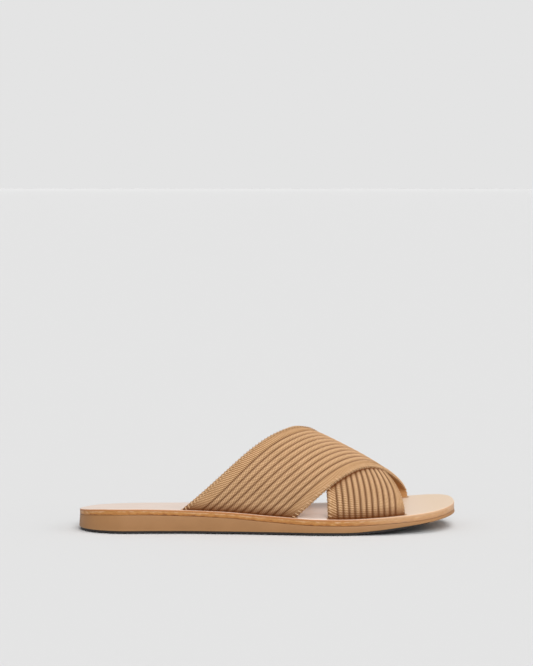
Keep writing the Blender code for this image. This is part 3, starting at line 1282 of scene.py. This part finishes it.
@dataclass(frozen=True)
class KnitFinish(Finish):
    """Ribbed polyester and cotton knit: matt yarn and small V stitches, with painted shade in the grooves, at
    the slots and under the top strap's edges.
    """

    name: str = "ribbed_knit_yarn"
    roughness: float = 0.85
    relief: float = 0.7
    relief_depth: float = 0.00025
    specular: float = 0.15
    light: str = "D3AB84"
    mid: str = "8C673F"
    # deep: colour of the painted shade in the grooves
    deep: str = "502808"
    # foot: colour of the painted shade at the strap's foot, by its slot
    foot: str = "60300C"
    rib_count: float = 10.0
    wales_per_rib: float = 4.0  # columns of V stitches, about 1 mm each
    row_pitch: float = 0.00128  # one row of V stitches
    band_slant: float = 0.9  # rows that a border stitch leans over one rib's width
    rib_stitch: float = 1.35  # how much the stitches show on the ribs
    band_stitch: float = 0.9  # and on the border bands
    middle_shade: float = -0.25
    wale_shade: float = -0.4
    fibre: float = 1 / 900  # about 1 mm
    fibre_share: float = 0.4
    cloud: float = 1 / 90  # about 11 mm
    cloud_share: float = 0.3
    groove_shade_share: float = 0.97
    foot_shade: float = 0.0080  # height over which painted shade darkens the knit at its slot
    foot_power: float = 1.4
    slot_shade_share: float = 0.97
    tuck_shadow_share: float = 0.9

    def paint(self, tree: Tree, place: Socket) -> tuple[Socket, Socket]:
        """Add V stitches in colour and relief, and painted shade in the grooves, at the slots and under the top
        strap's edges, by the strap's attributes.

        Args:
            tree: The material's node tree.
            place: Object coordinates.

        Returns:
            The colour and the height.
        """
        math_node, labels = partial(calculate, tree), ("rib", "along", "groove", "foot", "tucked")
        rib, along, groove, foot, tucked = (attribute(tree, label) for label in labels)
        # The two legs of each V rise towards the wale's middle, half a row higher than at its sides.
        leg = math_node("PINGPONG", math_node("MULTIPLY", rib, self.wales_per_rib), 0.5)
        on_band = math_node("GREATER_THAN", past_grooves(tree, rib, self.rib_count), 0.0)
        rise = choose(tree, on_band, leg, math_node("MULTIPLY", rib, self.band_slant))
        turn = math_node("ADD", math_node("DIVIDE", along, self.row_pitch), rise)
        stitch = math_node("MULTIPLY_ADD", math_node("SINE", math_node("MULTIPLY", turn, math.tau)), 0.5, 0.5)
        wale_turn = math_node("MULTIPLY", rib, self.wales_per_rib * math.tau)
        wale = math_node("MULTIPLY_ADD", math_node("COSINE", wale_turn), 0.5, 0.5)
        shown = math_node("MULTIPLY", stitch, choose(tree, on_band, self.rib_stitch, self.band_stitch))
        shade = math_node("ADD", shown, self.middle_shade)
        shares = ((self.fibre, 3.0, self.fibre_share), (self.cloud, 2.0, self.cloud_share))
        for size, detail, share in shares:
            shade = math_node("MULTIPLY_ADD", noise(tree, place, size, detail), share, shade)
        shade = math_node("MULTIPLY_ADD", wale, self.wale_shade, shade)
        colour = blend(tree, shade, self.mid, self.light)
        # Painted shade in the grooves.
        colour = blend(tree, math_node("MULTIPLY", groove, self.groove_shade_share), colour, self.deep)
        # Painted shade near the slots, and painted shadow beside the top strap's edges.
        near_foot = ease(tree, foot, self.foot_shade, 0.0)
        painted_shade = math_node("MULTIPLY", math_node("POWER", near_foot, self.foot_power), self.slot_shade_share)
        painted_shade = math_node("MAXIMUM", painted_shade, math_node("MULTIPLY", tucked, self.tuck_shadow_share))
        return blend(tree, painted_shade, colour, self.foot), stitch


@dataclass(frozen=True)
class LiningFinish(Finish):
    """Brushed microfibre lining: warm brown, matt, with a fine nap."""

    name: str = "brushed_lining"
    roughness: float = 0.8
    relief: float = 0.3
    colour: str = "B07C46"
    shaded: float = 0.8
    nap: float = 0.0006

    def paint(self, tree: Tree, place: Socket) -> tuple[Socket, Socket]:
        """Add a fine nap in colour and relief."""
        nap = noise(tree, place, self.nap, detail=4.0)
        return blend(tree, nap, linear_colour(self.colour, self.shaded), self.colour), nap


@dataclass(frozen=True)
class YarnFinish(Finish):
    """Twisted polyester sewing yarn, a little lighter and smoother than the knit."""

    name: str = "whip_stitch_yarn"
    roughness: float = 0.7
    relief: float = 0.4
    colour: str = "C8A279"
    shaded: float = 0.72
    twist: float = 0.0004

    def paint(self, tree: Tree, place: Socket) -> tuple[Socket, Socket]:
        """Add the yarn's twist in colour and relief.

        Args:
            tree: The material's node tree.
            place: Object coordinates.

        Returns:
            The colour and the height.
        """
        wave = {"Vector": place, "Scale": 1 / self.twist / math.tau, "Distortion": 0.5}
        ply = add_node(tree, "ShaderNodeTexWave", wave, bands_direction="DIAGONAL").outputs["Fac"]
        return blend(tree, ply, linear_colour(self.colour, self.shaded), self.colour), ply


@dataclass(frozen=True)
class BurnishedEdgeFinish(Finish):
    """Vegetable tanned leather with a dyed, rubbed edge: orange brown, uneven, darkest at its lower joint, with
    a painted highlight along its top.
    """

    name: str = "burnished_leather_edge"
    roughness: float = 0.42
    relief: float = 0.25
    coat: float = 0.05
    coat_roughness: float = 0.35
    # The upper tones, reached at the top of the wall, are a painted highlight along its rounded top edge.
    tones: tuple[str, ...] = ("764014", "A3692C", "AE7A3E", "C39870")  # from the lower joint up
    tone_levels: tuple[float, ...] = (0.80, 1.20, 1.65, 2.05)
    tone_range: float = 2.10
    toe: str = "BA9470"
    toe_share: float = 0.55
    toe_fade: tuple[float, float] = (0.05, 0.09)
    mottle: float = 0.0035
    mottle_share: float = 2.0
    mottle_stretch: float = 3.0
    grain: float = 1 / 1500

    def paint(self, tree: Tree, place: Socket) -> tuple[Socket, Socket]:
        """Add tones by the layer's level, paler upwards into a painted highlight, and a mottle drawn out along
        the edge, paler towards the toe.

        Args:
            tree: The material's node tree.
            place: Object coordinates.

        Returns:
            The colour and the height.
        """
        stretch = {"Vector": place, "Scale": (1.0, 1.0, self.mottle_stretch)}
        mottle = noise(tree, add_node(tree, "ShaderNodeMapping", stretch).outputs[0], self.mottle, detail=5.0)
        shade = calculate(tree, "MULTIPLY_ADD", mottle, self.mottle_share, attribute(tree, "level"))
        ramp = add_node(tree, "ShaderNodeValToRGB", {0: calculate(tree, "DIVIDE", shade, self.tone_range)})
        elements = ramp.color_ramp.elements
        positions = (level / self.tone_range for level in self.tone_levels)
        stops = list(zip(positions, map(linear_colour, self.tones)))
        for element, stop in zip(elements, (stops[0], stops[-1])):
            element.position, element.color = stop
        for position, colour in stops[1:-1]:
            elements.new(position).color = colour
        forward = add_node(tree, "ShaderNodeSeparateXYZ", {0: place}).outputs[0]
        towards_toe = ease(tree, forward, *self.toe_fade, self.toe_share)
        return blend(tree, towards_toe, ramp.outputs[0], self.toe), noise(tree, place, self.grain, detail=3.0)


@dataclass(frozen=True)
class FootbedFinish(Finish):
    """Undyed calf leather, smooth side up and polished: pale, faintly clouded, with a dyed cut edge whose pale
    top round is partly a painted highlight.
    """

    name: str = "pale_calf_leather"
    roughness: float = 0.40
    relief: float = 0.1
    relief_depth: float = 0.00005
    light: str = "DCC9BC"
    shade: str = "D2BDAE"
    toe: str = "D8BE9F"
    toe_share: float = 0.75
    toe_fade: tuple[float, float] = (0.055, 0.115)
    edge: str = "A96E38"
    toe_edge: str = "C8A27E"
    toe_edge_share: float = 0.8
    toe_edge_fade: tuple[float, float] = (0.05, 0.09)
    dye_and_highlight_levels: tuple[float, float] = (0.975, 0.94)
    cloud: float = 0.03
    pore: float = 0.0006

    def paint(self, tree: Tree, place: Socket) -> tuple[Socket, Socket]:
        """Add clouding, warmer towards the toe, pores in relief, and the edge's dye by the level attribute,
        left off the top round as partly a painted highlight.

        Args:
            tree: The material's node tree.
            place: Object coordinates.

        Returns:
            The colour and the height.
        """
        forward = add_node(tree, "ShaderNodeSeparateXYZ", {0: place}).outputs[0]
        face = blend(tree, noise(tree, place, self.cloud, detail=4.0), self.shade, self.light)
        face = blend(tree, ease(tree, forward, *self.toe_fade, self.toe_share), face, self.toe)
        at_toe = ease(tree, forward, *self.toe_edge_fade, self.toe_edge_share)
        edge = blend(tree, at_toe, self.edge, self.toe_edge)
        # The dye stops below the top round; its pale strip is the leather's own face and partly a painted
        # highlight.
        dyed = ease(tree, attribute(tree, "level"), *self.dye_and_highlight_levels)
        pores = add_node(tree, "ShaderNodeTexVoronoi", {"Vector": place, "Scale": 1 / self.pore})
        return blend(tree, dyed, face, edge), pores.outputs[0]


@dataclass(frozen=True)
class TreadRubberAndShadowFinish(Finish):
    """Harder dark rubber of the tread: nearly black brown, satin, with scuffs some millimetres long; its
    near-black is partly a painted contact shadow under the sole's edge.
    """

    name: str = "dark_tread_rubber"
    roughness: float = 0.6
    relief: float = 0.3
    # Near-black: the tread's rubber and partly a painted contact shadow.
    body: str = "120D0B"
    scuffed: str = "1F1815"
    scuff: float = 0.004
    grain: float = 1 / 2500

    def paint(self, tree: Tree, place: Socket) -> tuple[Socket, Socket]:
        """Add scuffs in colour and a fine grain in relief."""
        scuffs = noise(tree, place, self.scuff, detail=6.0)
        return blend(tree, scuffs, self.body, self.scuffed), noise(tree, place, self.grain, detail=2.0)


@dataclass(frozen=True)
class SoleRubberFinish(Finish):
    """Moulded microcellular rubber: tan, satin, with faint flow marks and a finely ribbed lower rim."""

    name: str = "moulded_tan_rubber"
    roughness: float = 0.55
    relief: float = 0.2
    body: str = "9C7044"
    worn: str = "8D6338"
    rim: str = "A57B4E"
    rim_share: float = 0.6
    rim_levels: tuple[float, float] = (0.16, 0.08)
    rim_rib: float = 0.0010
    flow: float = 0.012
    skin: float = 1 / 2500

    def paint(self, tree: Tree, place: Socket) -> tuple[Socket, Socket]:
        """Add flow marks, and a rim by the layer's level and around attributes.

        Args:
            tree: The material's node tree.
            place: Object coordinates.

        Returns:
            The colour and the height.
        """
        math_node = partial(calculate, tree)
        near_rim = ease(tree, attribute(tree, "level"), *self.rim_levels)
        colour = blend(tree, noise(tree, place, self.flow, detail=5.0), self.worn, self.body)
        colour = blend(tree, math_node("MULTIPLY", near_rim, self.rim_share), colour, self.rim)
        rib = math_node("SINE", math_node("MULTIPLY", attribute(tree, "around"), math.tau / self.rim_rib))
        skin = noise(tree, place, self.skin, detail=2.0)
        return colour, math_node("MULTIPLY_ADD", math_node("MULTIPLY", rib, near_rim), self.rim_share, skin)


# Studio


class Softbox(NamedTuple):
    """A broad lamp far away."""

    name: str
    strength: float
    spread: float  # degrees
    aim: tuple[float, float, float]


SOFTBOXES = (
    Softbox("overhead_softbox", 1.32, 40.0, (-0.22, 0.10, -1.0)),
    Softbox("toe_side_softbox", 0.65, 40.0, (-1.0, 0.25, -0.40)),
    Softbox("front_softbox", 1.95, 30.0, (-0.15, 1.0, -0.68)),
)


@dataclass
class Studio:
    """Plain pale floor and backdrop, soft light, and the photograph's camera."""

    form: SoleForm
    picture: tuple[int, int] = (533, 666)
    turn: float = 2.76  # degrees that the toe is turned away
    elevation: float = 8.45  # degrees
    distance: float = 1.637
    pixels_per_metre: float = 1440.0  # at the object's middle
    middle: tuple[float, float] = (267.8, 527.1)  # the floor's middle point in the picture
    sensor: float = 36.0
    floor_colour: str = "CBCBCB"
    floor_reach: float = 60.0
    backdrop_colour: str = "E4E4E4"
    backdrop_radius: float = 57.0
    backdrop_height: float = 13.0
    backdrop_sides: int = 48
    sky_strength: float = 0.60
    fill_size: float = 0.03
    fill_energy: float = 0.007
    fill_place: tuple[float, float, float] = (0.036, -0.004, 0.039)

    def place_camera(self) -> None:
        """Create the camera so that the floor's middle point falls on its pixel, without shift."""
        turn, tilt = math.radians(self.turn), math.radians(self.elevation)
        look = Vector((math.sin(turn) * math.cos(tilt), math.cos(turn) * math.cos(tilt), -math.sin(tilt)))
        right = Vector((math.cos(turn), -math.sin(turn), 0.0))
        up = right.cross(look)
        focal = self.pixels_per_metre * self.distance
        raise_by = math.atan((self.middle[1] - self.picture[1] / 2) / focal)
        aim = look * math.cos(raise_by) + up * math.sin(raise_by)
        camera_up = up * math.cos(raise_by) - look * math.sin(raise_by)
        sideways = (self.middle[0] - self.picture[0] / 2) / self.pixels_per_metre
        place = Vector((0.0, self.form.shift, 0.0)) - look * self.distance - right * sideways
        data = bpy.data.cameras.new("photo_camera")
        data.sensor_width = self.sensor
        data.lens = focal * self.sensor / max(self.picture)
        camera = link(data.name, data)
        camera.matrix_world = Matrix.Translation(place) @ Matrix((right, camera_up, -aim)).transposed().to_4x4()
        bpy.context.scene.camera = camera

    def lay_floor(self) -> None:
        """Lay a pale floor and stand a lit backdrop round it, far away."""
        paint = {"Base Color": linear_colour(self.floor_colour), "Roughness": 0.9, "Specular IOR Level": 0.0}
        far = self.floor_reach
        corners = [(-far, -far, 0.0), (far, -far, 0.0), (far, far, 0.0), (-far, far, 0.0)]
        floor = make_object("studio_floor", corners, [(0, 1, 2, 3)])
        floor.data.materials.append(principled("painted_floor", paint)[0])
        glow = {
            "Base Color": linear_colour("000000"),
            "Specular IOR Level": 0.0,
            "Emission Color": linear_colour(self.backdrop_colour),
            "Emission Strength": 1.0,
        }
        turns = np.linspace(0.0, math.tau, self.backdrop_sides, endpoint=False)
        ring = np.column_stack([np.cos(turns), np.sin(turns)]) * self.backdrop_radius
        corners = [(x, y, z) for z in (0.0, self.backdrop_height) for x, y in ring]
        screen = make_object("studio_backdrop", corners, loft_faces(2, self.backdrop_sides, capped=False))
        screen.data.materials.append(principled("lit_backdrop", glow)[0])

    def light(self) -> None:
        """Light softly from all round and from three sides, and brighten the footbed under the straps."""
        world = bpy.data.worlds.new("studio_world")
        world.use_nodes = True
        sky = world.node_tree.nodes["Background"].inputs
        sky["Color"].default_value = linear_colour(self.backdrop_colour)
        sky["Strength"].default_value = self.sky_strength
        bpy.context.scene.world = world
        for box in SOFTBOXES:
            data = bpy.data.lights.new(box.name, "SUN")
            data.energy, data.angle = box.strength, math.radians(box.spread)
            link(box.name, data).rotation_euler = Vector(box.aim).to_track_quat("-Z", "Y").to_euler()
        data = bpy.data.lights.new("under_strap_fill", "AREA")
        data.energy, data.size = self.fill_energy, self.fill_size
        fill = link(data.name, data)
        fill.location = self.fill_place
        fill.visible_camera = False
        view = bpy.context.scene.view_settings
        view.view_transform = "Standard"
        view.look = "None"


@dataclass
class Sandal:
    """The whole sandal: builds each piece, cuts the slots and hands every piece over to the frame."""

    form: SoleForm
    upper_node: str = "upper"
    upper_slot: str = "upper_knit"

    def dress(self) -> None:
        """Build and finish all pieces."""
        last = Last(self.form)
        over = KnitStrap(last, OVER_ROUTE, "over_strap")
        under = KnitStrap(last, UNDER_ROUTE, "under_strap", over, (0.0066, 0.0056), (0.0460, 0.0478))
        under.groove_sharpness = 2.2
        rubber, tread = SoleRubberFinish().material(), TreadRubberAndShadowFinish().material()
        outsole = Outsole(self.form)
        wedge = outsole.build()
        outsole.dress(wedge, rubber, tread)
        for piece in (wedge, outsole.build_ribs(tread)):
            hand_over(piece, outsole.node)
        sheets = ((Midsole(self.form), BurnishedEdgeFinish()), (Insole(self.form), FootbedFinish()))
        for layer, finish in sheets:
            sheet = layer.build()
            sheet.data.materials.append(finish.material())
            self.cut_slots(sheet, (over, under))
            hand_over(sheet, layer.node)
        knit, lining, yarn = KnitFinish().material(), LiningFinish().material(), YarnFinish().material()
        for strap in (over, under):
            hand_over(strap.build(knit, lining), self.upper_node)
            for edge in Edge:
                hand_over(strap.build_stitches(edge, yarn), self.upper_node)

    def cut_slots(self, sheet: Object, straps: Sequence[KnitStrap]) -> None:
        """Cut the straps' slots through one layer.

        Args:
            sheet: The layer.
            straps: Straps whose ends go through it.
        """
        cutters = [strap.slot_cutter(side) for strap in straps for side in Side]
        for cutter in cutters:
            modifier = sheet.modifiers.new(cutter.name, "BOOLEAN")
            modifier.operation = "DIFFERENCE"
            modifier.solver = "EXACT"
            modifier.object = cutter
        bake_modifiers(sheet, *cutters)


def main() -> None:
    """Dress the sandal to the outsole's length and set the studio."""
    logging.basicConfig(level=logging.INFO, format="%(name)s: %(message)s")
    low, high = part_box("outsole")
    form = SoleForm(length=high[0] - low[0])
    Sandal(form).dress()
    studio = Studio(form)
    studio.place_camera()
    studio.lay_floor()
    studio.light()


if __name__ == "__main__":
    main()
